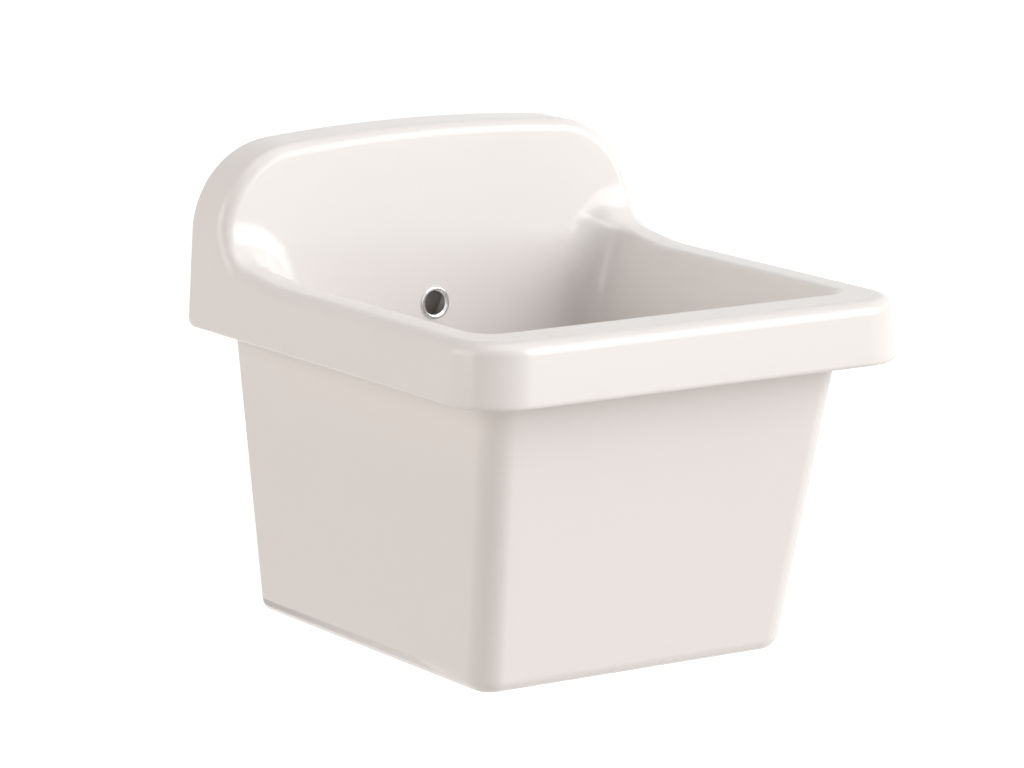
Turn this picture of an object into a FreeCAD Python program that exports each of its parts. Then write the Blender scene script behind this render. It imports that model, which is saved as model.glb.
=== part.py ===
"""Wall-hung ceramic laundry sink: one glazed casting, an overflow ring and a push-to-close waste.

Millimetres. +X is to the right of someone who stands at the sink, +Y runs into the wall and
+Z is up. The origin lies on the wall plane, midway between the two wall bolt holes.
"""
import FreeCAD, Part
import math
import os

Vector = FreeCAD.Vector

# ---- overall sizes of the casting
width = 450.0
depth = 490.0
tub_height = 325.0            # rim top to foot
splash_height = 115.0         # rim top to the crown of the raised back
bolt_drop = 60.0              # rim top down to the wall bolt holes

# ---- ceramic thicknesses
wall = 11.0                   # tub walls and raised back
apron_wall = 12.0             # turned-down edge of the rim
rim_thickness = 14.0
skirt_wall = 16.0             # foot and the two wings that reach the wall
floor_thickness = 12.0        # above and below the overflow way

# ---- rim and apron
apron_height = 56.0
side_rim = 33.0               # width of the rim beside the bowl
front_rim = 57.0              # width of the rim in front of the bowl
apron_draft = 0.06            # run per unit of rise
front_corner_radius = 51.0
outer_roll = 12.5
inner_roll = 8.0
edge_radius = 3.5             # lower edge of the apron and the edge against the wall
heel_radius = 9.0             # lower corner of the apron at the wall

# ---- raised back
ledge_depth = 52.0            # shelf on top of the raised back
back_lean = 0.05              # run per unit of rise, same for the raised back and the bowl
splash_corner_radius = 84.0
crown_radius = 1700.0
back_blend = 40.0             # hollow curve from the back to the rim and the bowl's sides
sweep_start = 139.0           # wall to where the side rims start to rise towards the back
sweep_slope = 0.13
sweep_radius = 300.0

# ---- tub
side_taper = 0.082            # run per unit of rise
front_taper = 0.203
tub_side_inset = 42.5         # apron face to tub side, at the apron's lower edge
flare_radius = 200.0          # bowl sides open outwards below the rim
front_bend_radius = 200.0
front_bend_drop = 27.0        # rim top to where the tub's front starts to lean
tub_corner_radius = 25.0
bowl_corner_radius = 20.0
floor_blend = 16.0
foot_roll = 16.0
rear_gap = 13.5               # wall to the tub at the apron's lower edge
rear_taper = 0.029            # the tub's rear draws away from the wall downwards

# ---- waste seat
drain_from_wall = 170.0
floor_fall = 0.012            # fall per unit of run towards the wall
dish_radius = 64.0            # shallow dish in the floor round the waste
dish_depth = 2.5
waste_hole_radius = 23.0
recess_radius = 34.0
recess_depth = 4.0
boss_radius = 44.0
boss_lift = 2.0               # boss face above the foot

# ---- overflow way, cast behind the back and under the floor
overflow_drop = 48.0          # rim top to the hole's centre
overflow_hole_radius = 12.5
way_width = 46.0
way_depth = 14.0              # behind the back
way_height = 14.0             # under the floor
way_wall = 9.0
way_top = 24.0                # above the overflow hole's centre
way_round = 8.0

# ---- wall fixing
bolt_spacing = 280.0
bolt_hole_radius = 7.0
bolt_plate_height = 60.0
bolt_plate_thickness = 24.0

# ---- overflow ring
ring_flange_radius = 15.0
ring_flange_thickness = 1.8
ring_bore_radius = 10.5
ring_sleeve_radius = 12.2
ring_sleeve_length = 9.5
ring_bevel = 0.7

# ---- waste body and tailpiece, 1 1/4 inch
body_radius = 20.95
body_bore_radius = 18.2
body_below_boss = 22.0        # end of the body under the boss face
socket_height = 8.0           # threaded socket that takes the tailpiece
waste_flange_radius = 32.0
waste_flange_thickness = 2.5
throat_bevel = 2.0            # where the flange runs down into the bore
flange_bevel = 0.8
tailpiece_radius = 15.875
tailpiece_wall = 1.0
tailpiece_thread_radius = 16.6
tailpiece_below_boss = 45.0
seal_thickness = 1.8
slot_width = 13.0
slot_height = 11.0
slot_count = 3
slot_angle = 30.0             # first slot from +X
arm_angle = 90.0
arm_width = 5.0
arm_height = 5.0
arm_drop = 8.0                # flange underside to the arms
hub_radius = 9.0
slot_lift = 1.5               # slots above the floor of the overflow way
under_seal_radius = 31.0
under_seal_height = 6.0
under_seal_nose = 4.0         # part that reaches up into the waste hole
under_seal_nose_radius = 22.5
slip_washer_thickness = 1.5
nut_height = 11.0
nut_flat_to_flat = 54.0
nut_collar_radius = 31.0
nut_collar_height = 3.0

# ---- latch cartridge and plug
cartridge_radius = 6.0
cartridge_length = 34.0
cartridge_head_radius = 8.0
cartridge_head = 2.0
cartridge_guide = 8.0         # bearing length of the plunger's guide
cartridge_bore_radius = 4.8
cartridge_nut_height = 4.0
cartridge_nut_flats = 17.0
end_plug_height = 4.0
plunger_radius = 3.0
plunger_foot_radius = 4.6
plunger_foot_height = 3.0
plug_travel = 8.0
spring_wire = 0.9
spring_turns = 5
spring_sides = 6              # sides of the wire's section
cap_radius = 30.0
cap_rise = 4.0                # dome above the cap's edge
dome_steps = 4
cap_edge = 1.6
cap_boss_radius = 6.0
cap_thread_depth = 9.0
seal_groove = 1.0
plug_seal_outer = 25.0
plug_seal_inner = 21.5
plug_seal_height = 3.0

# ---- clearances
running_gap = 0.06            # radial, round the plunger
thread_gap = 0.05             # radial, in each thread
seat_gap = 0.3                # between curved faces that seat
margin = 5.0                  # how far a cutting body runs past a face
touch = 0.02                  # how near a point counts as lying on a face

# ---- places that follow from the sizes
half_width = width / 2
rim_z = bolt_drop
crown_z = rim_z + splash_height
apron_z = rim_z - apron_height
foot_z = rim_z - tub_height
boss_z = foot_z + boss_lift
way_z = boss_z + floor_thickness
floor_under_z = way_z + way_height
seat_z = floor_under_z + floor_thickness
dish_z = seat_z + recess_depth
overflow_z = rim_z - overflow_drop
drain_y = -drain_from_wall
wing_grow = wall - skirt_wall
flange_low_z = seat_z + seal_thickness
flange_top_z = flange_low_z + waste_flange_thickness
body_low_z = boss_z - body_below_boss
socket_top_z = body_low_z + socket_height
tail_z = boss_z - tailpiece_below_boss
hub_top_z = flange_low_z - arm_drop
hub_low_z = hub_top_z - arm_height
nut_top_z = boss_z - under_seal_height - slip_washer_thickness
cartridge_top_z = hub_top_z + cartridge_head
cartridge_low_z = cartridge_top_z - cartridge_length
guide_low_z = cartridge_top_z - cartridge_guide
end_plug_top_z = cartridge_low_z + end_plug_height
foot_top_z = guide_low_z - plug_travel - seat_gap
plunger_low_z = foot_top_z - plunger_foot_height
cap_boss_z = cartridge_top_z + seat_gap
cap_low_z = flange_top_z + plug_seal_height - seal_groove

sweep_angle = math.atan(sweep_slope)
sweep_tangent = sweep_radius * math.tan(sweep_angle / 2)
# where the side rims' rise meets the leaning back
sweep_run = sweep_start - ledge_depth - back_lean * crown_z
sweep_top_z = (rim_z + sweep_slope * sweep_run) / (1 - sweep_slope * back_lean)

UP = Vector(0, 0, 1)


def back_y(z):
    """Y of the visible back face of the bowl and the raised back at height z."""
    return -(ledge_depth + back_lean * (crown_z - z))


def rear_y(z):
    """Y of the tub's rear edges at height z."""
    return -(rear_gap + rear_taper * (apron_z - z))


def rim_top_z(y):
    """Height of the side rims' top: level, then a long hollow curve, then a steady rise to the back."""
    run = y + sweep_start
    if run < -sweep_tangent:
        return rim_z
    if run > sweep_tangent * math.cos(sweep_angle):
        return rim_z + sweep_slope * run
    return rim_z + sweep_radius - math.sqrt(sweep_radius ** 2 - (run + sweep_tangent) ** 2)


def floor_z(y):
    """Height of the bowl's floor outside the dish."""
    return dish_z + dish_depth + floor_fall * (drain_y - y)


# ---------------------------------------------------------------- helpers

def prism_along_y(wire, y_from, y_to):
    """Solid from a closed wire in the XZ plane, between two values of Y."""
    wire.translate(Vector(0, y_from, 0))
    return Part.Face(wire).extrude(Vector(0, y_to - y_from, 0))


def prism_along_x(points, half_span):
    """Solid from corner points (y, z), centred on X."""
    corners = [Vector(-half_span, y, z) for y, z in points]
    face = Part.Face(Part.makePolygon(corners + corners[:1]))
    return face.extrude(Vector(2 * half_span, 0, 0))


def turned(points):
    """Solid turned about Z from corner points (radius, z)."""
    corners = [Vector(r, 0, z) for r, z in points]
    face = Part.Face(Part.makePolygon(corners + corners[:1]))
    return face.revolve(Vector(0, 0, 0), UP, 360)


def pipe(outer_r, inner_r, low_z, high_z):
    return turned([(inner_r, low_z), (outer_r, low_z), (outer_r, high_z), (inner_r, high_z)])


def hexagon(flats, low_z, height):
    """Hexagonal prism about Z."""
    corner_r = flats / 2 / math.cos(math.pi / 6)
    corners = [Vector(corner_r * math.cos(k * math.pi / 3), corner_r * math.sin(k * math.pi / 3), low_z)
               for k in range(7)]
    return Part.Face(Part.makePolygon(corners)).extrude(Vector(0, 0, height))


def over_drain(shape):
    """Move a shape made about Z to the waste hole's axis."""
    return shape.translated(Vector(0, drain_y, 0))


def mirrored_x(v):
    return Vector(-v.x, v.y, v.z)


def closed_wire(right_edges, top=None):
    """Wire in XZ from its right-hand edges, listed upwards, and their mirror images."""
    left_edges = [e.mirror(Vector(0, 0, 0), Vector(1, 0, 0)) for e in right_edges]
    start = right_edges[0].Vertexes[0].Point
    if top is None:
        end = right_edges[-1].Vertexes[-1].Point
        top = Part.makeLine(end, mirrored_x(end))
    edges = right_edges + [top] + left_edges + [Part.makeLine(mirrored_x(start), start)]
    return Part.Wire(Part.__sortEdges__(edges))


def arc_between(centre, radius, start, end):
    """Short arc from start to end about centre."""
    middle = (start + end) * 0.5 - centre
    middle.multiply(radius / middle.Length)
    return Part.Arc(start, centre + middle, end).toShape()


def samples(edge):
    """Five points along an edge."""
    span = edge.LastParameter - edge.FirstParameter
    return [edge.valueAt(edge.FirstParameter + span * k / 4) for k in range(5)]


def edges_where(shape, test):
    """Edges of a shape whose points all pass the test."""
    return [e for e in shape.Edges if all(test(p) for p in samples(e))]


def fillet_groups(shape, groups):
    """Fillet several groups of edges at once, each (test on a point, radius); the first match counts."""
    chosen = []
    for number, edge in enumerate(shape.Edges, 1):
        points = samples(edge)
        for test, radius in groups:
            if all(test(p) for p in points):
                chosen.append((number, radius, radius))
                break
    sheet = FreeCAD.newDocument()
    before = sheet.addObject("Part::Feature", "before")
    before.Shape = shape
    after = sheet.addObject("Part::Fillet", "after")
    after.Base = before
    after.Edges = chosen
    sheet.recompute()
    result = after.Shape.copy()
    FreeCAD.closeDocument(sheet.Name)
    return result


def near(a, b):
    return abs(a - b) < touch


# ---------------------------------------------------------------- the casting

def back_outline(inset, low_z):
    """Outline of apron and raised back in XZ, moved inwards by inset."""
    lean = Vector(-apron_draft, 0, 1).normalize()
    inwards = Vector(-1, 0, -apron_draft).normalize()
    foot = Vector(half_width, 0, apron_z)
    crown_centre = Vector(0, 0, crown_z - crown_radius)
    # the corner arc touches the leaning side and the crown
    base = foot + inwards * splash_corner_radius
    gap = base - crown_centre
    along = lean.dot(gap)
    reach = crown_radius - splash_corner_radius
    climb = math.sqrt(along ** 2 - gap.dot(gap) + reach ** 2) - along
    centre = base + lean * climb
    corner_r = splash_corner_radius - inset
    side_end = centre - inwards * corner_r
    crown_end = crown_centre + (centre - crown_centre).normalize() * (crown_radius - inset)
    side_foot = foot + inwards * inset
    start = side_foot + lean * ((low_z - side_foot.z) / lean.z)
    side = Part.makeLine(start, side_end)
    corner = arc_between(centre, corner_r, side_end, crown_end)
    crown = Part.Arc(crown_end, Vector(0, 0, crown_z - inset), mirrored_x(crown_end)).toShape()
    return closed_wire([side, corner], crown)


def tub_side_edges(grow, low_z):
    """Right-hand side of the tub in XZ, upwards from low_z; grow = wall is the outside."""
    slope = math.hypot(1, side_taper)
    lean = Vector(side_taper, 0, 1).normalize()
    outwards = Vector(1, 0, -side_taper).normalize()
    outer_edge = Vector(half_width - tub_side_inset, 0, apron_z)
    bowl_edge = outer_edge - outwards * wall
    # the flare leaves the straight side so that it reaches the rim's inner edge at the rim top
    straight_x = bowl_edge.x + side_taper * (rim_z - bowl_edge.z)
    rim_x = half_width - apron_draft * apron_height - side_rim
    off_line = (rim_x - straight_x) / slope
    climb = math.sqrt(2 * flare_radius * off_line - off_line ** 2)
    foot_of_rim = Vector(rim_x, 0, rim_z) - outwards * off_line
    centre = foot_of_rim - lean * climb + outwards * flare_radius
    radius = flare_radius - grow
    line_end = centre - outwards * radius
    line_edge = bowl_edge + outwards * grow
    line_start = line_edge + lean * ((low_z - line_edge.z) / lean.z)
    top_z = sweep_top_z + margin
    top = Vector(centre.x - math.sqrt(radius ** 2 - (top_z - centre.z) ** 2), 0, top_z)
    return [Part.makeLine(line_start, line_end), arc_between(centre, radius, line_end, top)]


def tub_front_wire(grow, low_z, back_points):
    """YZ outline of the tub: front wall upwards, then the back points downwards."""
    tilt = math.atan(front_taper)
    radius = front_bend_radius + grow
    centre = Vector(0, front_rim - depth + front_bend_radius, rim_z - front_bend_drop)
    bend_top = centre - Vector(0, radius, 0)
    bend_low = centre - Vector(0, radius * math.cos(tilt), radius * math.sin(tilt))
    low = Vector(0, bend_low.y + (bend_low.z - low_z) * front_taper, low_z)
    top = Vector(0, bend_top.y, sweep_top_z + margin)
    edges = [Part.makeLine(low, bend_low), arc_between(centre, radius, bend_low, bend_top)]
    corners = [bend_top, top] + [Vector(0, y, z) for y, z in back_points] + [low]
    edges += [Part.makeLine(a, b) for a, b in zip(corners, corners[1:])]
    return Part.Wire(edges)


def tub_solid(grow, low_z, back_points, corner_radius):
    """Tapered tub where two prisms meet, with its two front corners rounded."""
    across = prism_along_y(closed_wire(tub_side_edges(grow, low_z)), -depth, margin)
    profile = tub_front_wire(grow, low_z, back_points)
    profile.translate(Vector(-half_width, 0, 0))
    solid = across.common(Part.Face(profile).extrude(Vector(width, 0, 0)))
    corners = [e for e in solid.Edges
               if e.BoundBox.YMax < -depth / 2 and e.BoundBox.ZLength > e.BoundBox.XLength]
    return solid.makeFillet(corner_radius, corners)


def space_over_rim():
    """Space above the rim and before the raised back; the side rims sweep up towards the back."""
    bend_from = Vector(-width, -sweep_start - sweep_tangent, rim_z)
    bend_y = -sweep_start + sweep_tangent * math.cos(sweep_angle)
    bend_to = Vector(-width, bend_y, rim_top_z(bend_y))
    centre = bend_from + UP * sweep_radius
    back_low = Vector(-width, back_y(sweep_top_z), sweep_top_z)
    over_z = crown_z + margin
    back_high = Vector(-width, back_y(over_z), over_z)
    before_z = [Vector(-width, -depth - margin, z) for z in (over_z, rim_z)]
    corners = [bend_to, back_low, back_high] + before_z + [bend_from]
    edges = [arc_between(centre, sweep_radius, bend_from, bend_to)]
    edges += [Part.makeLine(a, b) for a, b in zip(corners, corners[1:])]
    return Part.Face(Part.Wire(edges)).extrude(Vector(2 * width, 0, 0))


def apron_and_back():
    """Solid block of the rim and the raised back, with the space over the rim cut away."""
    block = prism_along_y(back_outline(0, apron_z), -depth, 0)
    lean = apron_draft * (crown_z - apron_z)
    before_front = [(-depth - margin, apron_z - margin), (-depth - margin * apron_draft, apron_z - margin),
                    (-depth + lean, crown_z), (-depth - margin, crown_z)]
    block = block.cut(prism_along_x(before_front, width)).cut(space_over_rim())
    upright = [e for e in block.Edges
               if e.BoundBox.ZLength > apron_height / 2 and e.BoundBox.YMax < -depth / 2]
    block = block.makeFillet(front_corner_radius, upright)
    block = block.makeFillet(heel_radius, edges_where(block, lambda p: near(p.y, 0) and near(p.z, apron_z)))
    # one chain: round the lower edge, up both heels and over the outline against the wall
    low_side = edges_where(block, lambda p: near(abs(p.x), half_width) and near(p.z, apron_z))
    return block.makeFillet(edge_radius, low_side)


def bowl_cavity():
    """The space that holds water, its floor falling towards the wall, with a dish round the waste."""
    top_z = sweep_top_z + margin
    back = [(back_y(top_z), top_z), (back_y(seat_z), seat_z)]
    cavity = tub_solid(0, seat_z, back, bowl_corner_radius)
    below = prism_along_x([(0, floor_z(0)), (-depth, floor_z(-depth)), (-depth, foot_z), (0, foot_z)], width)
    slope = dish_depth / (dish_radius - recess_radius)
    rim = (dish_radius + margin, dish_z + dish_depth + slope * margin)
    dish = turned([(0, dish_z), (recess_radius, dish_z), rim, (0, rim[1])])
    return cavity.cut(below).fuse(over_drain(dish)).removeSplitter()


def on_back(p):
    return near(p.y, back_y(p.z))


def on_floor(p):
    return near(p.z, floor_z(p.y)) and math.hypot(p.x, p.y - drain_y) > dish_radius + margin


def on_side_face(p):
    return near(abs(p.x), half_width - apron_draft * (p.z - apron_z))


def on_front_face(p):
    return near(p.y, -depth + apron_draft * (p.z - apron_z))


def tub_outside():
    """The tub as a block, from foot to rim and back to the wall."""
    rear = [(rear_y(z), z) for z in (sweep_top_z + margin, foot_z)]
    tub = tub_solid(wall, foot_z, rear, tub_corner_radius)
    round_foot = edges_where(tub, lambda p: near(p.z, foot_z))
    return tub.makeFillet(foot_roll, [e for e in round_foot if e.BoundBox.YMin < rear_y(foot_z) - margin])


def rounded_block(tub):
    """The casting without its hollows: every face that shows, with its rolls and blends."""
    above_rim = Part.makeBox(2 * width, 2 * depth, depth,
                             Vector(-width, -1.5 * depth, rim_z - rim_thickness / 2))
    body = apron_and_back().fuse(tub.cut(above_rim)).cut(bowl_cavity()).removeSplitter()
    rim_inside = half_width - side_rim + margin

    def on_inner_edge(p):
        return near(p.z, rim_top_z(p.y)) and abs(p.x) < rim_inside and -depth + front_rim - margin < p.y

    inner_edge = [e for e in edges_where(body, on_inner_edge) if e.BoundBox.YMin < back_y(rim_z) - margin]
    body = body.makeFillet(inner_roll, inner_edge)
    body = fillet_groups(body, [(on_floor, floor_blend),
                                (lambda p: on_back(p) and p.z < sweep_top_z + touch, back_blend)])

    def on_outer_edge(p):
        above = p.z > rim_z + back_blend - margin
        return (p.z > rim_z - touch and p.y < back_y(p.z) + touch
                and (on_side_face(p) or on_front_face(p) or (above and on_back(p))))

    return body.makeFillet(outer_roll, edges_where(body, on_outer_edge))


def hollow_under_rim(tub):
    """Gap between the apron and the tub, open below and towards the wall."""
    low_z = apron_z - margin
    top_z = rim_z - rim_thickness
    inside = prism_along_y(back_outline(apron_wall, low_z), -depth + apron_wall, margin)
    front = -depth + apron_wall
    before = [(front - margin, low_z), (front + apron_draft * (low_z - apron_z), low_z),
              (front + apron_draft * (top_z - apron_z), top_z), (front - margin, top_z)]
    above = Part.makeBox(2 * width, 2 * depth, depth, Vector(-width, -1.5 * depth, top_z))
    inside = inside.cut(prism_along_x(before, width)).cut(above)
    upright = [e for e in inside.Edges
               if e.BoundBox.ZLength > apron_height / 2 and e.BoundBox.YMax < -depth / 2]
    inside = inside.makeFillet(front_corner_radius - apron_wall, upright)
    return inside.cut(tub)


def hollow_behind_back():
    """Space inside the raised back, open towards the wall."""
    low_z = bolt_plate_height / 2
    inside = prism_along_y(back_outline(wall, low_z), back_y(low_z), margin)
    behind = [(back_y(low_z) + wall, low_z), (margin, low_z),
              (margin, crown_z), (back_y(crown_z) + wall, crown_z)]
    return inside.common(prism_along_x(behind, width))


def hollow_under_bowl():
    """Space under the floor and behind the bowl, open below and towards the wall."""
    low_z = foot_z - margin
    top_z = rim_z - rim_thickness
    inside = tub_solid(wing_grow, low_z, [(margin, rim_z), (margin, low_z)], bowl_corner_radius + wing_grow)
    behind = [(back_y(rim_z) + wall, rim_z), (back_y(floor_under_z) + wall, floor_under_z)]
    bowl = tub_solid(wall, floor_under_z, behind, tub_corner_radius)
    above = Part.makeBox(2 * width, 2 * depth, depth, Vector(-width, -1.5 * depth, top_z))
    return inside.cut(bowl).cut(above)


def way_outline(skin):
    """YZ outline of the overflow way, grown by skin: down behind the bowl, then under the floor."""
    top_z = overflow_z + way_top + skin
    front = back_y(top_z) + wall - skin / 2
    low_front = back_y(floor_under_z) + wall - skin / 2
    rear = wall + way_depth + skin
    low_z = way_z - skin
    inner_z = floor_under_z + skin / 2
    return [(front, top_z), (low_front, inner_z), (drain_y, inner_z), (drain_y, low_z),
            (back_y(low_z) + rear, low_z), (back_y(top_z) + rear, top_z)]


def way_shell():
    """Outside of the overflow way and the boss round the waste hole."""
    shell = prism_along_x(way_outline(way_wall), way_width / 2 + way_wall)
    rear = [e for e in shell.Edges if e.BoundBox.YMin > back_y(foot_z) + wall + way_depth]
    shell = shell.makeFillet(way_round, rear)
    boss = Part.makeCylinder(boss_radius, floor_under_z + margin - boss_z, Vector(0, drain_y, boss_z))
    below = Part.makeBox(width, depth, floor_thickness, Vector(-half_width, -depth, boss_z - floor_thickness))
    return shell.fuse(boss).cut(below)


def bolt_plate():
    """Plate between the wings that takes the two wall bolts."""
    span = half_width - tub_side_inset - wall
    plate = Part.makeBox(2 * span, bolt_plate_thickness, bolt_plate_height,
                         Vector(-span, -bolt_plate_thickness, -bolt_plate_height / 2))
    front = edges_where(plate, lambda p: near(p.y, -bolt_plate_thickness))
    return plate.makeFillet(edge_radius, [e for e in front if e.BoundBox.XLength > span])


def normal_to_back(shape):
    """Turn a shape from +Z to the room side of the back, at the overflow hole's centre."""
    tilt = math.degrees(math.atan(back_lean))
    shape.rotate(Vector(0, 0, 0), Vector(1, 0, 0), 90 - tilt)
    shape.translate(Vector(0, back_y(overflow_z), overflow_z))
    return shape


def basin():
    tub = tub_outside()
    body = rounded_block(tub)
    for hollow in (hollow_under_rim(tub), hollow_behind_back(), hollow_under_bowl()):
        body = body.cut(hollow)
    body = body.fuse([way_shell(), bolt_plate()])
    drain = Part.makeCylinder(waste_hole_radius, tub_height, Vector(0, drain_y, foot_z - margin))
    recess = Part.makeCylinder(recess_radius, tub_height, Vector(0, drain_y, seat_z))
    overflow = Part.makeCylinder(overflow_hole_radius, 3 * wall, Vector(0, 0, -wall - way_depth / 2))
    cuts = [prism_along_x(way_outline(0), way_width / 2), drain, recess, normal_to_back(overflow)]
    for side in (-1, 1):
        before_plate = Vector(side * bolt_spacing / 2, -2 * bolt_plate_thickness, 0)
        length = 4 * bolt_plate_thickness
        cuts.append(Part.makeCylinder(bolt_hole_radius, length, before_plate, Vector(0, 1, 0)))
    return body.cut(cuts).removeSplitter()


# ---------------------------------------------------------------- overflow ring

def overflow_ring():
    """Trim ring whose sleeve stands in the overflow hole."""
    front = ring_flange_thickness
    return normal_to_back(turned([
        (ring_bore_radius, -ring_sleeve_length), (ring_sleeve_radius, -ring_sleeve_length),
        (ring_sleeve_radius, 0), (ring_flange_radius, 0),
        (ring_flange_radius, front - ring_bevel), (ring_flange_radius - ring_bevel, front),
        (ring_bore_radius + ring_bevel, front), (ring_bore_radius, front - ring_bevel)]))


# ---------------------------------------------------------------- waste

def spokes(count, first_angle, make):
    """Copies of one radial shape, evenly spaced about Z."""
    copies = []
    for k in range(count):
        spoke = make()
        spoke.rotate(Vector(0, 0, 0), UP, first_angle + 360 * k / count)
        copies.append(spoke)
    return copies


def overflow_slot():
    return Part.makeBox(body_radius + margin, slot_width, slot_height,
                        Vector(0, -slot_width / 2, way_z + slot_lift))


def arm():
    return Part.makeBox((body_radius + body_bore_radius) / 2, arm_width, arm_height,
                        Vector(0, -arm_width / 2, hub_low_z))


def waste_body():
    """Flanged tube with overflow slots, a three-armed hub and a socket for the tailpiece."""
    socket_radius = tailpiece_thread_radius + thread_gap
    outside = [(socket_radius, body_low_z), (body_radius, body_low_z), (body_radius, flange_low_z),
               (waste_flange_radius, flange_low_z), (waste_flange_radius, flange_top_z - flange_bevel),
               (waste_flange_radius - flange_bevel, flange_top_z)]
    bore = [(body_bore_radius + throat_bevel, flange_top_z), (body_bore_radius, flange_top_z - throat_bevel),
            (body_bore_radius, socket_top_z), (socket_radius, socket_top_z)]
    tube = turned(outside + bore)
    slots = spokes(slot_count, slot_angle, overflow_slot)
    hub = Part.makeCylinder(hub_radius, arm_height, Vector(0, 0, hub_low_z))
    hub_bore = Part.makeCylinder(cartridge_radius + thread_gap, tub_height, Vector(0, 0, tail_z))
    spider = hub.fuse(spokes(slot_count, arm_angle, arm)).cut(hub_bore)
    return over_drain(tube.cut(slots).fuse(spider).removeSplitter())


def tailpiece():
    """Plain tube under the body, with a threaded collar at its top."""
    bore_radius = tailpiece_radius - tailpiece_wall
    return over_drain(turned([
        (bore_radius, tail_z), (tailpiece_radius, tail_z), (tailpiece_radius, body_low_z),
        (tailpiece_thread_radius, body_low_z), (tailpiece_thread_radius, socket_top_z),
        (bore_radius, socket_top_z)]))


def flange_seal():
    outer = waste_flange_radius - seat_gap
    return over_drain(pipe(outer, waste_hole_radius + seat_gap, seat_z, flange_low_z))


def under_seal():
    """Rubber washer with a nose that centres the tail in the waste hole."""
    low_z = boss_z - under_seal_height
    inner = body_radius + thread_gap
    return over_drain(turned([(inner, low_z), (under_seal_radius, low_z), (under_seal_radius, boss_z),
                              (under_seal_nose_radius, boss_z),
                              ((under_seal_nose_radius + inner) / 2, boss_z + under_seal_nose),
                              (inner, boss_z + under_seal_nose)]))


def slip_washer():
    top_z = nut_top_z + slip_washer_thickness
    return over_drain(pipe(under_seal_radius, body_radius + seat_gap, nut_top_z, top_z))


def back_nut():
    """Collared hexagon nut on the tail."""
    collar_z = nut_top_z - nut_collar_height
    low_z = nut_top_z - nut_height
    collar = Part.makeCylinder(nut_collar_radius, nut_collar_height, Vector(0, 0, collar_z))
    body = hexagon(nut_flat_to_flat, low_z, nut_height)
    bore = Part.makeCylinder(body_radius + thread_gap, nut_height + 2 * margin, Vector(0, 0, low_z - margin))
    return over_drain(collar.fuse(body).cut(bore).removeSplitter())


# ---------------------------------------------------------------- latch cartridge and plug

def cartridge():
    """Sleeve in the hub: a close guide above, a wider spring chamber below."""
    guide_radius = plunger_radius + running_gap
    return over_drain(turned([(guide_radius, cartridge_top_z), (cartridge_head_radius, cartridge_top_z),
                              (cartridge_head_radius, hub_top_z), (cartridge_radius, hub_top_z),
                              (cartridge_radius, cartridge_low_z), (cartridge_bore_radius, cartridge_low_z),
                              (cartridge_bore_radius, guide_low_z), (guide_radius, guide_low_z)]))


def cartridge_nut():
    nut = hexagon(cartridge_nut_flats, hub_low_z - cartridge_nut_height, cartridge_nut_height)
    bore = Part.makeCylinder(cartridge_radius + thread_gap, 3 * cartridge_nut_height,
                             Vector(0, 0, hub_low_z - 2 * cartridge_nut_height))
    return over_drain(nut.cut(bore))


def end_plug():
    return over_drain(Part.makeCylinder(cartridge_bore_radius - thread_gap, end_plug_height,
                                        Vector(0, 0, cartridge_low_z)))


def latch_spring():
    """Coil between the end plug and the plunger's foot."""
    coil_radius = cartridge_bore_radius - spring_wire
    low_z = end_plug_top_z + spring_wire / 2
    rise = plunger_low_z - spring_wire / 2 - low_z
    path = Part.makeHelix(rise / spring_turns, rise, coil_radius)
    angles = [2 * math.pi * k / spring_sides for k in range(spring_sides + 1)]
    wire_r = spring_wire / 2
    corners = [Vector(coil_radius + wire_r * math.cos(a), 0, wire_r * math.sin(a)) for a in angles]
    coil = Part.Wire(path).makePipeShell([Part.makePolygon(corners)], True, True)
    return over_drain(coil.translated(Vector(0, 0, low_z)))


def plunger():
    """Rod with a foot, screwed into the cap."""
    top_z = cap_boss_z + cap_thread_depth - seat_gap
    foot = Part.makeCylinder(plunger_foot_radius, plunger_foot_height, Vector(0, 0, plunger_low_z))
    rod = Part.makeCylinder(plunger_radius, top_z - plunger_low_z, Vector(0, 0, plunger_low_z))
    return over_drain(foot.fuse(rod).removeSplitter())


def plug_cap():
    """Domed cap with a seal groove and a threaded boss."""
    edge_z = cap_low_z + cap_edge
    crown = edge_z + cap_rise
    dome_radius = (cap_radius ** 2 + cap_rise ** 2) / (2 * cap_rise)
    dome = []
    for step in range(dome_steps + 1):
        r = cap_radius * (1 - step / dome_steps)
        dome.append((r, crown - dome_radius + math.sqrt(dome_radius ** 2 - r ** 2)))
    under = [(0, cap_boss_z), (cap_boss_radius, cap_boss_z), (cap_boss_radius, cap_low_z),
             (plug_seal_inner, cap_low_z), (plug_seal_inner, cap_low_z + seal_groove),
             (plug_seal_outer, cap_low_z + seal_groove), (plug_seal_outer, cap_low_z),
             (cap_radius, cap_low_z)]
    thread = Part.makeCylinder(plunger_radius + thread_gap, cap_thread_depth, Vector(0, 0, cap_boss_z))
    return over_drain(turned(under + dome).cut(thread))


def plug_seal():
    return over_drain(pipe(plug_seal_outer, plug_seal_inner, flange_top_z, flange_top_z + plug_seal_height))


def check_volume(name, shape):
    """Print a part's size, so that a wrong solid shows at once."""
    state = "ok" if shape.isValid() and len(shape.Solids) == 1 else "BROKEN"
    print(f"{name:16s} {state:7s} {shape.Volume / 1000:10.2f} cm3 {len(shape.Faces):4d} faces")


def main():
    os.makedirs("parts", exist_ok=True)
    makers = [basin, overflow_ring, waste_body, tailpiece, flange_seal, under_seal, slip_washer, back_nut,
              cartridge, cartridge_nut, end_plug, latch_spring, plunger, plug_cap, plug_seal]
    for make in makers:
        shape = make()
        check_volume(make.__name__, shape)
        shape.exportStep(f"parts/{make.__name__}.step")


if __name__ == "__main__":
    main()
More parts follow.
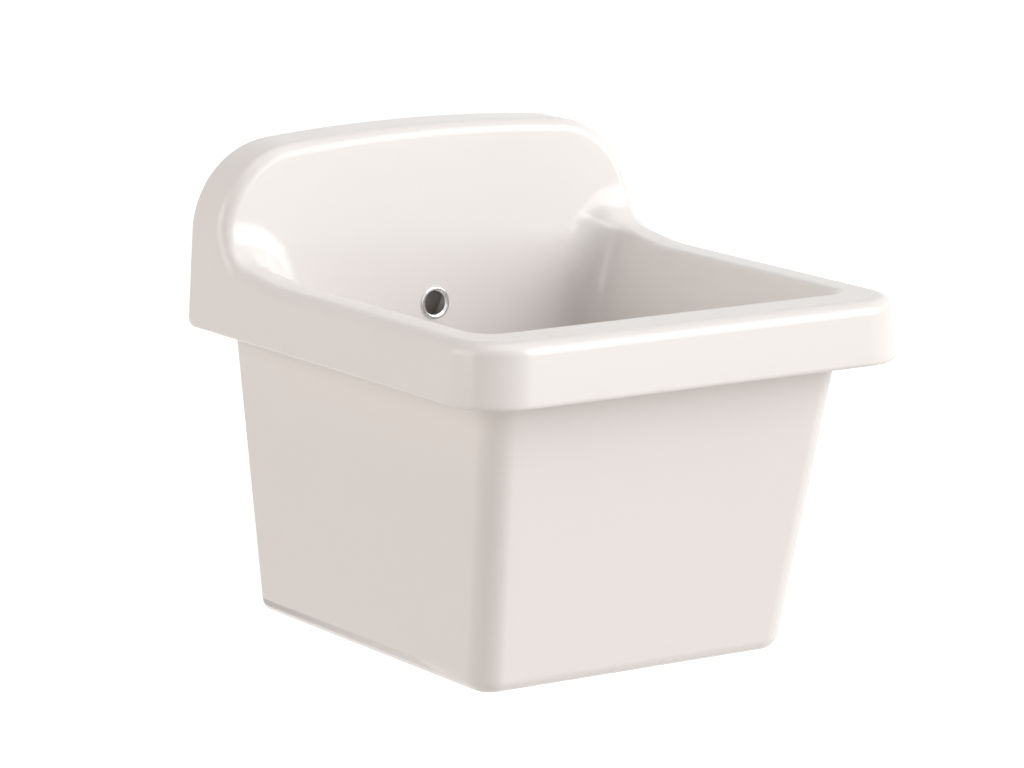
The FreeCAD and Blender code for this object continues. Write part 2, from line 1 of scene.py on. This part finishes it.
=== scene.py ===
"""Wall-hung ceramic laundry sink: glazed casting, chrome overflow ring and a push-to-close waste."""
import math

import bmesh
import bpy
from bpy.props import FloatProperty, FloatVectorProperty, PointerProperty
from mathutils import Matrix, Vector


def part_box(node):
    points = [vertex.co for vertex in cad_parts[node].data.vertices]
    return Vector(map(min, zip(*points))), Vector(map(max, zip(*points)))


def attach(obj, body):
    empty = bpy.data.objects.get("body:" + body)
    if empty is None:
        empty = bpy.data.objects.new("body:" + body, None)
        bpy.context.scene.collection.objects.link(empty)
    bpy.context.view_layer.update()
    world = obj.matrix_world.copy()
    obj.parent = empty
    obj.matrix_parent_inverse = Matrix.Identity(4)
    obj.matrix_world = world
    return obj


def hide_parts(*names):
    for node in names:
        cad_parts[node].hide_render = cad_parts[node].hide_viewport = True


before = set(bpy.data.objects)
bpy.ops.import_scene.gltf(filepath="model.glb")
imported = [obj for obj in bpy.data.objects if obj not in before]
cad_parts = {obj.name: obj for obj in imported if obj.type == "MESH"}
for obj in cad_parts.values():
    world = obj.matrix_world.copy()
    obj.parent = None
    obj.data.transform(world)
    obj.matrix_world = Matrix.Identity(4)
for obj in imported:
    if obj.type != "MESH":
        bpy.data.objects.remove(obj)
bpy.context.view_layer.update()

bl_info = {
    "name": "Laundry Sink",
    "version": (1, 0, 0),
    "blender": (4, 5, 0),
    "location": "View3D > Sidebar > Sink",
    "description": "Builds a wall-hung ceramic laundry sink with its overflow ring and waste",
    "category": "Add Mesh",
}

MM = 0.001
MERGE = 0.01 * MM             # how near two corners of the casting count as one
FINE_MERGE = 0.001 * MM       # the same for the small metal and rubber pieces
SINK = "sink"                 # the body that hangs on the wall
PLUG = "plug"                 # the body that rises to open the waste

# places read from the frame
BASIN_LOW, BASIN_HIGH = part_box("basin")
RING_LOW, RING_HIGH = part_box("overflow_ring")
WASTE_LOW, WASTE_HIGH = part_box("waste_body")
NUT_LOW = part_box("back_nut")[0]
CAP_LOW, CAP_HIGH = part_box("plug_cap")
DRAIN = Vector(((WASTE_LOW.x + WASTE_HIGH.x) / 2, (WASTE_LOW.y + WASTE_HIGH.y) / 2, 0))

# the leaning back of the casting
BACK_LEAN = 0.05              # run per unit of rise
SHELF_DEPTH = 52.0 * MM       # shelf on top of the raised back, at the crown's height

# the dished bottom of the bowl
DISH_UPWARD = 0.98            # least upward share of its faces' normals
DISH_RISE = 20.0 * MM         # it lies below this height above the waste's flange

# where the casting is wiped clean of glaze before firing
WALL_WIPE = 2.0 * MM          # from the wall
FOOT_WIPE = 2.5 * MM          # from the foot
WIPE_EDGE = 1.0 * MM          # over which the glaze thins out

WAY_PLAY = 0.5 * MM           # how far the overflow way's colour reaches past its sides


# ---------------------------------------------------------------- sizes and colours

def length(name, description, default):
    return FloatProperty(name=name, description=description, default=default, unit="LENGTH", precision=5)


def colour(name, description, default):
    return FloatVectorProperty(name=name, description=description, default=default, subtype="COLOR",
                               size=3, min=0.0, max=1.0)


def share(name, description, default):
    return FloatProperty(name=name, description=description, default=default, subtype="FACTOR",
                         min=0.0, max=1.0)


def strength(name, description, default):
    return FloatProperty(name=name, description=description, default=default, min=0.0)


def angle(name, description, degrees):
    return FloatProperty(name=name, description=description, default=math.radians(degrees), subtype="ANGLE")


class CastingSettings(bpy.types.PropertyGroup):
    """Sizes and colours of the glazed casting"""
    flatness: angle("Flatness", "Greatest angle between faces that count as one flat side", 0.02)
    crease: angle("Crease", "Least angle between faces that meet in a sharp edge", 30.0)
    glaze: colour("Glaze", "Colour of the glaze", (0.875, 0.845, 0.835))
    pooled: colour("Pooled glaze", "Colour of the glaze where it lies thick", (0.86, 0.825, 0.81))
    biscuit: colour("Biscuit", "Colour of the bare fired clay", (0.72, 0.66, 0.58))
    # painted shade: the inside of the overflow way is coloured near-black to stand for the shadow in the
    # hole, not for any stain of the clay
    way_painted_shade: colour("Overflow way", "Colour of the clay inside the overflow way", (0.03, 0.027, 0.025))
    gloss: share("Glaze roughness", "Roughness of the glaze", 0.24)
    dull: share("Clay roughness", "Roughness of the bare clay", 0.85)
    ripple: length("Ripple", "Height of the glaze's faint unevenness", 0.00002)
    way_width: length("Way width", "Width of the overflow way behind the back", 0.046)
    way_front: length("Way front", "From the back's face to the glaze's end in the overflow hole", 0.006)
    way_rear: length("Way rear", "From the back's face to the rear of the overflow way", 0.026)


class FittingSettings(bpy.types.PropertyGroup):
    """Sizes and colours of the ring, the waste and the plug"""
    edge: length("Edge", "Radius of small turned edges", 0.0004)
    trim_bore: length("Ring bore", "Radius of the overflow ring's hole", 0.0105)
    trim_sleeve: length("Ring sleeve", "Radius of the overflow ring's sleeve", 0.0122)
    trim_sleeve_length: length("Sleeve length", "How far the ring's sleeve reaches into the hole", 0.0095)
    trim_thickness: length("Ring thickness", "Thickness of the overflow ring's flange", 0.0018)
    cap_edge: length("Cap edge", "Height of the plug cap's upright edge", 0.0016)
    cap_rise: length("Cap rise", "Rise of the plug cap's dome above its edge", 0.0040)
    cap_boss: length("Cap boss", "Radius of the boss under the cap", 0.0060)
    cap_bore: length("Cap bore", "Radius of the threaded hole in the boss", 0.00305)
    cap_bore_depth: length("Bore depth", "Depth of the threaded hole in the boss", 0.0090)
    groove_inner: length("Groove inside", "Inner radius of the seal's groove", 0.0215)
    groove_outer: length("Groove outside", "Outer radius of the seal's groove", 0.0250)
    groove_depth: length("Groove depth", "Depth of the seal's groove", 0.0010)
    tail_radius: length("Tail radius", "Radius of the waste's threaded tail", 0.02095)
    thread_pitch: length("Thread pitch", "Rise of the tail's thread in one turn", 0.0013)
    thread_height: length("Thread height", "How far the thread's ridge stands out", 0.00045)
    chrome: colour("Chrome", "Colour of chromed brass", (0.78, 0.785, 0.79))
    brass: colour("Brass", "Colour of bare brass", (0.72, 0.53, 0.26))
    spring_steel: colour("Steel", "Colour of the spring", (0.55, 0.55, 0.56))
    rubber: colour("Rubber", "Colour of the seals", (0.035, 0.035, 0.037))
    nylon: colour("Nylon", "Colour of the slip washer", (0.78, 0.78, 0.75))
    chrome_roughness: share("Chrome roughness", "Roughness of chromed brass", 0.07)
    brass_roughness: share("Brass roughness", "Roughness of bare brass", 0.28)
    spring_steel_roughness: share("Steel roughness", "Roughness of the spring", 0.3)
    rubber_roughness: share("Rubber roughness", "Roughness of the seals", 0.6)
    nylon_roughness: share("Nylon roughness", "Roughness of the slip washer", 0.42)


class StudioSettings(bpy.types.PropertyGroup):
    """Lamps and floor"""
    floor_drop: length("Floor", "Height of the sink's foot above the floor", 0.50)
    floor_reach: length("Floor reach", "From the middle of the floor to its sides", 16.0)
    floor: colour("Floor colour", "Colour of the plain floor", (0.80, 0.765, 0.74))
    glow: strength("Floor glow", "Light that the floor adds where it is seen", 0.50)
    ambient: colour("Ambient", "Light from all round", (0.12, 0.112, 0.105))
    key: strength("Key lamp", "Strength of the lamp at the front right", 2.60)
    side: strength("Side lamp", "Strength of the lamp at the left", 1.60)
    top: strength("Top lamp", "Strength of the lamp overhead", 0.80)
    softness: angle("Softness", "Width of a lamp as the sink sees it", 52.0)


# ---------------------------------------------------------------- material nodes

# noise patterns: how many to the metre, and how fine
THICKNESS = (7.0, 3.0)        # how thick the glaze lies
SHEEN = (18.0, 3.0)           # how glossy the glaze is
RIPPLES = (240.0, 1.0)
CLAY_SPECKLE = (90.0, 4.0)
POLISH = (60.0, 3.0)          # marks on metal
MOULD_TINT = (25.0, 3.0)      # rubber and nylon
MOULD_GRAIN = (400.0, 2.0)

NOISE_RANGE = (0.3, 0.7)      # most of a noise pattern lies between these
SHEEN_RANGE = (0.8, 1.25)     # share of the glaze's roughness
POLISH_RANGE = (0.7, 1.5)     # share of a metal's roughness
GRAIN_RANGE = (0.9, 1.1)      # share of rubber's and nylon's roughness
POLISH_STRETCH = (1, 1, 6)
POLISH_DEPTH = 0.004 * MM
GRAIN_DEPTH = 0.02 * MM
CLAY_SHADE = 0.9              # the clay's darker specks against its colour
MOULD_SHADE = 1.15            # rubber's and nylon's paler clouds against their colour
GLAZE_IOR = 1.52

# a Mix node's inputs A and B and its output, for each kind of value
MIX_SOCKETS = {"FLOAT": (2, 3, 0), "RGBA": (6, 7, 2)}


def feed(tree, socket, value):
    """Gives an input another node's output or a plain value."""
    if isinstance(value, bpy.types.NodeSocket):
        tree.links.new(value, socket)
    else:
        socket.default_value = value


def add(tree, kind, **values):
    """A node with its settings and its inputs' values."""
    node = tree.nodes.new(kind)
    for name, value in values.items():
        if name in node.inputs:
            feed(tree, node.inputs[name], value)
        else:
            setattr(node, name, value)
    return node


def result(tree, kind, *values, **settings):
    """The first output of a node whose inputs are given in order."""
    node = add(tree, kind, **settings)
    for socket, value in zip(node.inputs, values):
        feed(tree, socket, value)
    return node.outputs[0]


def maths(tree, operation, *values):
    return result(tree, "ShaderNodeMath", *values, operation=operation)


def mixed(tree, kind, factor, first, second):
    """Goes from the first value or colour to the second as the factor goes from 0 to 1."""
    node = add(tree, "ShaderNodeMix", data_type=kind)
    a, b, out = MIX_SOCKETS[kind]
    for index, value in ((0, factor), (a, first), (b, second)):
        feed(tree, node.inputs[index], value)
    return node.outputs[out]


def ramp(tree, value, span, reached=(0.0, 1.0)):
    """Maps a span of a value to another span, and holds it there."""
    limits = {"From Min": span[0], "From Max": span[1], "To Min": reached[0], "To Max": reached[1]}
    return add(tree, "ShaderNodeMapRange", Value=value, **limits).outputs["Result"]


def object_coordinates(tree):
    return add(tree, "ShaderNodeTexCoord").outputs["Object"]


def pattern(tree, scale, detail, stretch=(1, 1, 1)):
    """Noise on object coordinates."""
    place = add(tree, "ShaderNodeMapping", Vector=object_coordinates(tree), Scale=stretch).outputs["Vector"]
    return add(tree, "ShaderNodeTexNoise", Vector=place, Scale=scale, Detail=detail).outputs["Fac"]


def spread(tree, noise, low=0.0, high=1.0):
    """A noise pattern that runs from low to high."""
    return ramp(tree, noise, NOISE_RANGE, (low, high))


def opaque(base, shade=1.0):
    """A node's colour, lightened or darkened by a shade."""
    return (*[min(1.0, part * shade) for part in base], 1)


def bump(tree, shader, height, depth):
    """Small relief of a given depth in metres."""
    relief = add(tree, "ShaderNodeBump", Height=height, Strength=1.0, Distance=depth)
    feed(tree, shader.inputs["Normal"], relief.outputs["Normal"])


def material(name, base, roughness, metallic=0.0):
    """A Principled material with its uniform values on the shader's own sockets."""
    made = bpy.data.materials.new(name)
    made.use_nodes = True
    shader = made.node_tree.nodes["Principled BSDF"]
    shader.inputs["Base Color"].default_value = opaque(base)
    shader.inputs["Roughness"].default_value = roughness
    shader.inputs["Metallic"].default_value = metallic
    return made, made.node_tree, shader


def bare_clay(tree, axes):
    """1 where the casting was not glazed: against the wall and under the foot."""
    wall = BASIN_HIGH.y - WALL_WIPE
    foot = BASIN_LOW.z + FOOT_WIPE
    at_wall = ramp(tree, axes["Y"], (wall, wall + WIPE_EDGE))
    at_foot = ramp(tree, axes["Z"], (foot, foot - WIPE_EDGE))
    return maths(tree, "MAXIMUM", at_wall, at_foot)


def overflow_way(tree, axes, settings):
    """1 inside the overflow way, behind the back's face and clear of the glaze: there the clay is left bare,
    and its colour is painted near-black as shade.
    """
    # depth behind the leaning face = y + shelf depth + lean * (crown - z)
    face = maths(tree, "MULTIPLY_ADD", axes["Z"], -BACK_LEAN, SHELF_DEPTH + BACK_LEAN * BASIN_HIGH.z)
    behind = maths(tree, "ADD", axes["Y"], face)
    middle = (settings.way_front + settings.way_rear) / 2
    deep = maths(tree, "COMPARE", behind, middle, settings.way_rear - middle)
    across = maths(tree, "COMPARE", axes["X"], 0.0, settings.way_width / 2 + WAY_PLAY)
    return maths(tree, "MULTIPLY", deep, across)


def ceramic_material(settings):
    """White fireclay glaze, bare clay at the wall and the foot, and the bare inside of the overflow way
    painted near-black as shade.
    """
    made, tree, shader = material("ceramic", settings.glaze, settings.gloss)
    shader.inputs["IOR"].default_value = GLAZE_IOR
    axes = add(tree, "ShaderNodeSeparateXYZ", Vector=object_coordinates(tree)).outputs
    bare = bare_clay(tree, axes)
    way = overflow_way(tree, axes, settings)
    thick = spread(tree, pattern(tree, *THICKNESS))
    glaze = mixed(tree, "RGBA", thick, opaque(settings.glaze), opaque(settings.pooled))
    speckle = spread(tree, pattern(tree, *CLAY_SPECKLE))
    clay = mixed(tree, "RGBA", speckle, opaque(settings.biscuit), opaque(settings.biscuit, CLAY_SHADE))
    skin = mixed(tree, "RGBA", bare, glaze, clay)
    # painted shade: the overflow way's bare clay takes a near-black colour in place of the shadow inside the
    # hole
    feed(tree, shader.inputs["Base Color"], mixed(tree, "RGBA", way, skin, opaque(settings.way_painted_shade)))
    sheen = spread(tree, pattern(tree, *SHEEN), *[settings.gloss * part for part in SHEEN_RANGE])
    unglazed = maths(tree, "MAXIMUM", bare, way)
    feed(tree, shader.inputs["Roughness"], mixed(tree, "FLOAT", unglazed, sheen, settings.dull))
    bump(tree, shader, pattern(tree, *RIPPLES), settings.ripple)
    return made


def metal_material(name, base, roughness):
    """Plated or bare metal with faint polishing marks."""
    made, tree, shader = material(name, base, roughness, metallic=1.0)
    marks = pattern(tree, *POLISH, stretch=POLISH_STRETCH)
    feed(tree, shader.inputs["Roughness"], spread(tree, marks, *[roughness * part for part in POLISH_RANGE]))
    bump(tree, shader, marks, POLISH_DEPTH)
    return made


def moulded_material(name, base, roughness):
    """Rubber or nylon with a fine moulded grain."""
    made, tree, shader = material(name, base, roughness)
    clouds = spread(tree, pattern(tree, *MOULD_TINT))
    tint = mixed(tree, "RGBA", clouds, opaque(base), opaque(base, MOULD_SHADE))
    feed(tree, shader.inputs["Base Color"], tint)
    grain = pattern(tree, *MOULD_GRAIN)
    feed(tree, shader.inputs["Roughness"], spread(tree, grain, *[roughness * part for part in GRAIN_RANGE]))
    bump(tree, shader, grain, GRAIN_DEPTH)
    return made


FITTING_MATERIALS = {
    "chrome": metal_material,
    "brass": metal_material,
    "spring_steel": metal_material,
    "rubber": moulded_material,
    "nylon": moulded_material,
}


def finish_of(slot):
    """The material of one of the record's slots, made once."""
    made = bpy.data.materials.get(slot)
    if made:
        return made
    if slot == "ceramic":
        return ceramic_material(bpy.context.scene.sink_casting)
    look = bpy.context.scene.sink_fittings
    return FITTING_MATERIALS[slot](slot, getattr(look, slot), getattr(look, f"{slot}_roughness"))


# ---------------------------------------------------------------- mesh helpers

CORNER = math.radians(30.0)         # a turned profile is rounded where it bends by more
NEARLY_FLAT = math.radians(0.1)     # faces of a small solid that count as one
SOFT_EDGE = math.radians(35.0)      # a small solid's edges are rounded where they bend by more
PIECE_CREASE = math.radians(40.0)   # a small piece is shaded sharp where it bends by more


def mesh_of(bm, name):
    """The mesh that a bmesh holds, which is then let go."""
    mesh = bpy.data.meshes.new(name)
    bm.to_mesh(mesh)
    bm.free()
    return mesh


def placed(name, data):
    """An object of the scene for a mesh, a lamp or a camera."""
    made = bpy.data.objects.new(name, data)
    bpy.context.scene.collection.objects.link(made)
    return made


def new_piece(name, bm, body, slot, nodes, crease=PIECE_CREASE):
    """Turns a bmesh into a piece that rides on a body and stands for its nodes."""
    mesh = mesh_of(bm, name)
    mesh.shade_smooth()
    mesh.set_sharp_from_angle(angle=crease)
    mesh.materials.append(finish_of(slot))
    piece = placed(name, mesh)
    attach(piece, body)
    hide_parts(*nodes)
    return piece


def copied(node, merge):
    """A bmesh of a solid of the frame, whose doubled corners are joined."""
    bm = bmesh.new()
    bm.from_mesh(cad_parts[node].data)
    bmesh.ops.remove_doubles(bm, verts=bm.verts, dist=merge)
    return bm


def drawn(bm, profile):
    """Corners and face of a closed profile of (radius, height) corners."""
    corners = [bm.verts.new((r, 0, z)) for r, z in profile]
    edges = [bm.edges.new(pair) for pair in zip(corners, corners[1:] + corners[:1])]
    return corners, bmesh.ops.contextual_create(bm, geom=edges)["faces"]


def turned(profile, rounding, steps=160, segments=3):
    """A closed profile of (radius, height) corners, its sharp corners rounded, spun about Z."""
    bm = bmesh.new()
    corners, _ = drawn(bm, profile)
    sharp = [v for v in corners if v.co.x > MERGE and v.calc_edge_angle(0) > CORNER]
    bmesh.ops.bevel(bm, geom=sharp, offset=rounding, segments=segments, affect="VERTICES", profile=0.5,
                    material=-1, clamp_overlap=True)
    bmesh.ops.delete(bm, geom=bm.faces[:], context="FACES_ONLY")
    on_axis = [e for e in bm.edges if all(v.co.x < MERGE for v in e.verts)]
    bmesh.ops.delete(bm, geom=on_axis, context="EDGES")
    bmesh.ops.spin(bm, geom=bm.verts[:] + bm.edges[:], cent=(0, 0, 0), axis=(0, 0, 1), angle=math.tau,
                   steps=steps, use_merge=True)
    bmesh.ops.remove_doubles(bm, verts=bm.verts, dist=FINE_MERGE)
    bmesh.ops.recalc_face_normals(bm, faces=bm.faces)
    return bm


def softened(node, body, slot, radius, segments=2):
    """A copy of a solid with every sharp edge slightly rounded."""
    bm = copied(node, FINE_MERGE)
    bmesh.ops.dissolve_limit(bm, angle_limit=NEARLY_FLAT, verts=bm.verts, edges=bm.edges)
    sharp = [e for e in bm.edges if e.calc_face_angle(0) > SOFT_EDGE]
    bmesh.ops.bevel(bm, geom=sharp, offset=radius, segments=segments, affect="EDGES", profile=0.5,
                    material=-1, clamp_overlap=True)
    return new_piece(f"{node}_soft", bm, body, slot, [node])


# ---------------------------------------------------------------- the pieces

def in_dish(face):
    """Whether a face of the casting belongs to the dished bottom of the bowl, which isn't quite flat."""
    return face.normal.z > DISH_UPWARD and face.calc_center_median().z < WASTE_HIGH.z + DISH_RISE


def glazed_basin(settings):
    """The casting's skin: the solid's shape with clean flat sides and smoothly shaded rolls."""
    bm = copied("basin", MERGE)
    bmesh.ops.dissolve_degenerate(bm, dist=2 * MERGE, edges=bm.edges)
    # each flat side becomes one face, so that the rolls round it start exactly level with it
    sides = [e for e in bm.edges if not all(in_dish(f) for f in e.link_faces)]
    bmesh.ops.dissolve_limit(bm, angle_limit=settings.flatness, verts=bm.verts, edges=sides)
    piece = new_piece("basin_glazed", bm, SINK, "ceramic", ["basin"], crease=settings.crease)
    even = piece.modifiers.new("even", "WEIGHTED_NORMAL")
    even.keep_sharp = True
    even.weight = 100         # the largest face at a corner sets its shading
    return piece


class SINK_OT_basin(bpy.types.Operator):
    """Make the glazed casting"""
    bl_idname = "sink.basin"
    bl_label = "Glazed basin"

    def execute(self, context):
        glazed_basin(context.scene.sink_casting)
        return {"FINISHED"}


def overflow_trim(look):
    """Rounded chrome ring whose sleeve stands in the overflow hole."""
    outer = (RING_HIGH.x - RING_LOW.x) / 2
    front = look.trim_thickness
    tilt = math.atan(BACK_LEAN)
    bm = turned([(look.trim_bore, -look.trim_sleeve_length), (look.trim_sleeve, -look.trim_sleeve_length),
                 (look.trim_sleeve, 0), (outer, 0), (outer, front / 2), (outer - front / 2, front),
                 (look.trim_bore + front, front), (look.trim_bore, 0)], rounding=look.edge)
    bmesh.ops.rotate(bm, verts=bm.verts, cent=(0, 0, 0), matrix=Matrix.Rotation(math.pi / 2 - tilt, 3, "X"))
    place = Vector((0, RING_LOW.y + front * math.cos(tilt) + outer * math.sin(tilt),
                    (RING_LOW.z + RING_HIGH.z - front * math.sin(tilt)) / 2))
    bmesh.ops.translate(bm, verts=bm.verts, vec=place)
    return new_piece("overflow_trim", bm, SINK, "chrome", ["overflow_ring"])


class SINK_OT_overflow(bpy.types.Operator):
    """Make the chrome ring of the overflow hole"""
    bl_idname = "sink.overflow"
    bl_label = "Overflow ring"

    def execute(self, context):
        overflow_trim(context.scene.sink_fittings)
        return {"FINISHED"}


def plug_dome(look, steps=24):
    """Domed cap with a seal groove below and a threaded boss."""
    outer = (CAP_HIGH.x - CAP_LOW.x) / 2
    edge_z = CAP_HIGH.z - look.cap_rise
    low_z = edge_z - look.cap_edge
    dome_radius = (outer ** 2 + look.cap_rise ** 2) / (2 * look.cap_rise)
    centre_z = CAP_HIGH.z - dome_radius
    bore_z = CAP_LOW.z + look.cap_bore_depth
    groove_z = low_z + look.groove_depth
    under = [(0, bore_z), (look.cap_bore, bore_z), (look.cap_bore, CAP_LOW.z), (look.cap_boss, CAP_LOW.z),
             (look.cap_boss, low_z), (look.groove_inner, low_z), (look.groove_inner, groove_z),
             (look.groove_outer, groove_z), (look.groove_outer, low_z), (outer, low_z)]
    radii = [outer * (1 - step / steps) for step in range(steps + 1)]
    dome = [(r, centre_z + math.sqrt(dome_radius ** 2 - r ** 2)) for r in radii]
    bm = turned(under + dome, rounding=look.edge)
    bmesh.ops.translate(bm, verts=bm.verts, vec=DRAIN)
    return new_piece("plug_dome", bm, PLUG, "chrome", ["plug_cap"])


class SINK_OT_plug(bpy.types.Operator):
    """Make the plug's domed cap, its seal and its rod"""
    bl_idname = "sink.plug"
    bl_label = "Plug"

    def execute(self, context):
        look = context.scene.sink_fittings
        plug_dome(look)
        softened("plug_seal", PLUG, "rubber", look.edge)
        softened("plunger", PLUG, "brass", look.edge)
        return {"FINISHED"}


def tail_thread(look, steps_per_turn=64):
    """The thread that shows on the waste's tail under the nut."""
    turns = math.floor((NUT_LOW.z - WASTE_LOW.z) / look.thread_pitch) - 1
    low_z = WASTE_LOW.z + look.thread_pitch / 2
    root = look.tail_radius - look.thread_height / 4
    ridge = [(root, low_z), (look.tail_radius + look.thread_height, low_z + look.thread_pitch / 2),
             (root, low_z + look.thread_pitch)]
    bm = bmesh.new()
    _, start = drawn(bm, ridge)
    bmesh.ops.spin(bm, geom=start, cent=(0, 0, 0), axis=(0, 0, 1), angle=turns * math.tau,
                   steps=turns * steps_per_turn, dvec=(0, 0, look.thread_pitch / steps_per_turn))
    bmesh.ops.recalc_face_normals(bm, faces=bm.faces)
    bmesh.ops.translate(bm, verts=bm.verts, vec=DRAIN)
    return new_piece("tail_thread", bm, SINK, "chrome", [])


class SINK_OT_waste(bpy.types.Operator):
    """Make the waste's flanged body, its tail and their thread"""
    bl_idname = "sink.waste"
    bl_label = "Waste"

    def execute(self, context):
        look = context.scene.sink_fittings
        for node in ("waste_body", "tailpiece"):
            softened(node, SINK, "chrome", look.edge / 2)
        tail_thread(look)
        return {"FINISHED"}


class SINK_OT_nuts(bpy.types.Operator):
    """Make the nuts, the washer and the latch's brass pieces"""
    bl_idname = "sink.nuts"
    bl_label = "Nuts and latch"

    def execute(self, context):
        look = context.scene.sink_fittings
        for node in ("back_nut", "cartridge_nut", "cartridge", "end_plug"):
            softened(node, SINK, "brass", look.edge)
        softened("slip_washer", SINK, "nylon", look.edge)
        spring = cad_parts["latch_spring"]
        spring.data.materials.clear()
        spring.data.materials.append(finish_of("spring_steel"))
        return {"FINISHED"}


class SINK_OT_seals(bpy.types.Operator):
    """Make the rubber seals above and below the casting"""
    bl_idname = "sink.seals"
    bl_label = "Seals"

    def execute(self, context):
        look = context.scene.sink_fittings
        for node in ("flange_seal", "under_seal"):
            softened(node, SINK, "rubber", look.edge)
        return {"FINISHED"}


# ---------------------------------------------------------------- the stage

# the photograph's camera: a long lens a little above the rim, to the left of the front
CAMERA_TURN = -32.89                     # degrees to the right of the front
CAMERA_RISE = 11.12                      # degrees above level
CAMERA_AIM = Vector((0.0, -0.240, -0.040))
CAMERA_SHIFT = (-0.02759, 0.00606)       # aim to the picture's centre, across and up, in metres
CAMERA_DISTANCE = 4.41918
CAMERA_REACH = (0.1, 50.0)               # nearest and farthest that it sees
PICTURE_WIDTH = 1024
FOCAL_PIXELS = 5000.0
SENSOR = 36.0

# each lamp's name, degrees to the right of the front, degrees above level, colour
LAMPS = (
    ("key", 40, 20, (1.0, 1.0, 1.0)),
    ("side", -108, 10, (1.0, 0.94, 0.90)),
    ("top", 0, 80, (1.0, 1.0, 1.0)),
)


def towards(turn, rise):
    """Direction out to a place that many degrees to the right of the front and above level."""
    turn, rise = math.radians(turn), math.radians(rise)
    return Vector((math.sin(turn) * math.cos(rise), -math.cos(turn) * math.cos(rise), math.sin(rise)))


def photo_camera():
    """The camera at the photograph's angle."""
    back = towards(CAMERA_TURN, CAMERA_RISE)
    right = towards(CAMERA_TURN + 90, 0)
    up = back.cross(right)
    data = bpy.data.cameras.new("camera")
    data.sensor_width = SENSOR
    data.lens = FOCAL_PIXELS / PICTURE_WIDTH * SENSOR
    data.clip_start, data.clip_end = CAMERA_REACH
    camera = placed("camera", data)
    place = CAMERA_AIM + right * CAMERA_SHIFT[0] + up * CAMERA_SHIFT[1] + back * CAMERA_DISTANCE
    camera.matrix_world = Matrix.Translation(place) @ Matrix((right, up, back)).transposed().to_4x4()
    bpy.context.scene.camera = camera


def seen_rays(tree):
    """1 for rays that show the background itself: camera, glossy and transmission rays."""
    path = add(tree, "ShaderNodeLightPath").outputs
    reflected = maths(tree, "MAXIMUM", path["Is Camera Ray"], path["Is Glossy Ray"])
    return maths(tree, "MAXIMUM", reflected, path["Is Transmission Ray"])


def world_light(studio):
    """Soft light from all round, and a white background where it is seen."""
    world = bpy.data.worlds.new("studio")
    world.use_nodes = True
    tree = world.node_tree
    tree.nodes.clear()
    light = add(tree, "ShaderNodeBackground", Color=opaque(studio.ambient), Strength=1.0).outputs[0]
    white = add(tree, "ShaderNodeBackground", Color=(1, 1, 1, 1), Strength=1.0).outputs[0]
    shown = result(tree, "ShaderNodeMixShader", seen_rays(tree), light, white)
    add(tree, "ShaderNodeOutputWorld", Surface=shown)
    bpy.context.scene.world = world


def floor_plane(studio):
    """Pale floor that keeps the sink's shadow and glows a little where it is seen."""
    made = bpy.data.materials.new("floor")
    made.use_nodes = True
    tree = made.node_tree
    tree.nodes.clear()
    diffuse = add(tree, "ShaderNodeBsdfDiffuse", Color=opaque(studio.floor)).outputs[0]
    lift = maths(tree, "MULTIPLY", seen_rays(tree), studio.glow)
    glow = add(tree, "ShaderNodeEmission", Color=(1, 1, 1, 1), Strength=lift).outputs[0]
    add(tree, "ShaderNodeOutputMaterial", Surface=result(tree, "ShaderNodeAddShader", diffuse, glow))
    bm = bmesh.new()
    bmesh.ops.create_grid(bm, x_segments=1, y_segments=1, size=studio.floor_reach)
    bmesh.ops.translate(bm, verts=bm.verts, vec=(0, 0, BASIN_LOW.z - studio.floor_drop))
    floor = placed("floor", mesh_of(bm, "floor"))
    floor.data.materials.append(made)


def soft_lamp(name, turn, rise, tint, studio):
    """A wide lamp far away, as strong as its setting says."""
    data = bpy.data.lights.new(name, "SUN")
    data.energy = getattr(studio, name)
    data.color = tint
    data.angle = studio.softness
    lamp = placed(name, data)
    lamp.rotation_mode = "QUATERNION"
    lamp.rotation_quaternion = towards(turn, rise).to_track_quat("Z", "Y")


class SINK_OT_stage(bpy.types.Operator):
    """Set the camera, the lamps and the floor"""
    bl_idname = "sink.stage"
    bl_label = "Stage"

    def execute(self, context):
        studio = context.scene.sink_studio
        photo_camera()
        world_light(studio)
        floor_plane(studio)
        for lamp in LAMPS:
            soft_lamp(*lamp, studio)
        context.scene.view_settings.view_transform = "Standard"
        return {"FINISHED"}


# ---------------------------------------------------------------- the add-on

class SINK_PT_panel(bpy.types.Panel):
    """Lists the sink's makers and their sizes"""
    bl_idname = "SINK_PT_panel"
    bl_label = "Laundry sink"
    bl_space_type = "VIEW_3D"
    bl_region_type = "UI"
    bl_category = "Sink"

    def draw(self, context):
        for operator in OPERATORS:
            self.layout.operator(operator.bl_idname)
        for place in SETTINGS:
            settings = getattr(context.scene, place)
            for name in settings.bl_rna.properties.keys():
                if name not in ("rna_type", "name"):
                    self.layout.prop(settings, name)


OPERATORS = (
    SINK_OT_basin, SINK_OT_overflow, SINK_OT_plug, SINK_OT_waste, SINK_OT_nuts, SINK_OT_seals, SINK_OT_stage)
SETTINGS = {"sink_casting": CastingSettings, "sink_fittings": FittingSettings, "sink_studio": StudioSettings}
CLASSES = (*SETTINGS.values(), *OPERATORS, SINK_PT_panel)


def register():
    for part in CLASSES:
        bpy.utils.register_class(part)
    for place, settings in SETTINGS.items():
        setattr(bpy.types.Scene, place, PointerProperty(type=settings))


def unregister():
    for place in SETTINGS:
        delattr(bpy.types.Scene, place)
    for part in reversed(CLASSES):
        bpy.utils.unregister_class(part)


def main():
    register()
    bpy.ops.sink.basin()
    bpy.ops.sink.overflow()
    bpy.ops.sink.plug()
    bpy.ops.sink.waste()
    bpy.ops.sink.nuts()
    bpy.ops.sink.seals()
    bpy.ops.sink.stage()


if __name__ == "__main__":
    main()
